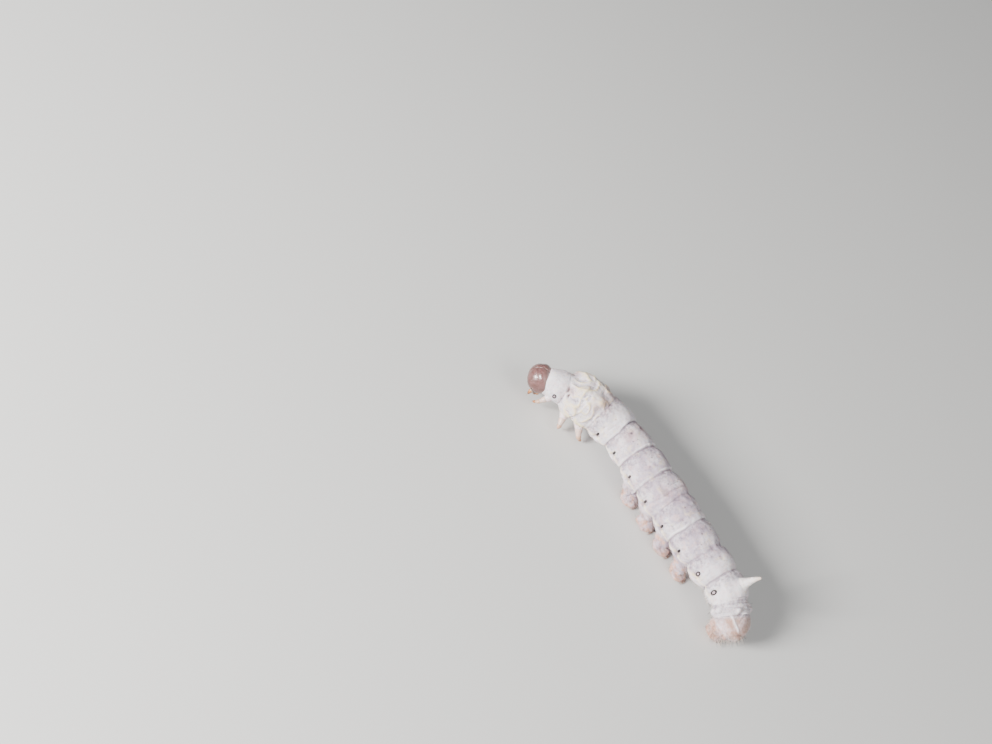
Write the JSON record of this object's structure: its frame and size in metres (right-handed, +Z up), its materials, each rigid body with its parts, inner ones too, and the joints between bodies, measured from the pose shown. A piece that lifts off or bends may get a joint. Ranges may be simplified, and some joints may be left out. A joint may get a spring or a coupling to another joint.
{
  "type": "silkworm",
  "caption": "Life-size model of a grown domestic silkworm larva: pale wrinkled body with a brown head, jointed front legs, soft prolegs, claspers and a tail horn",
  "frame": {"origin": "on the floor, under the middle of the box round the whole animal", "axes": "+X towards the head, +Y the animal's left side, +Z up"},
  "size_m": [0.0558, 0.015, 0.0119],
  "materials": {
    "skin": "soft matt white skin with fine grey-lilac mottling",
    "prolegs": "soft skin, pinkish beige, slightly translucent",
    "horn": "soft skin, pale, firmer towards the tip",
    "head_capsule": "hard glossy capsule, reddish brown with darker flecks",
    "mouthparts": "hard amber brown with dark tips",
    "legs": "hard amber segments with dark claws"
  },
  "bodies": {
    "root": {"head": "head_capsule", "antenna_left": "mouthparts", "antenna_right": "mouthparts", "mandible_left": "mouthparts", "mandible_right": "mouthparts", "lower_lip": "mouthparts", "thorax_1": "skin", "thorax_2": "skin", "thorax_3": "skin", "abdomen_1": "skin", "abdomen_2": "skin", "abdomen_3": "skin", "abdomen_4": "skin", "abdomen_5": "skin", "abdomen_6": "skin", "abdomen_7": "skin", "abdomen_8": "skin", "abdomen_9": "skin", "anal_segment": "skin", "proleg_3_left": "prolegs", "proleg_3_right": "prolegs", "proleg_4_left": "prolegs", "proleg_4_right": "prolegs", "proleg_5_left": "prolegs", "proleg_5_right": "prolegs", "proleg_6_left": "prolegs", "proleg_6_right": "prolegs", "clasper_left": "prolegs", "clasper_right": "prolegs", "leg_1_left": "legs", "leg_1_right": "legs", "leg_2_left": "legs", "leg_2_right": "legs", "leg_3_left": "legs", "leg_3_right": "legs", "horn": "horn"}
  },
  "joints": []
}
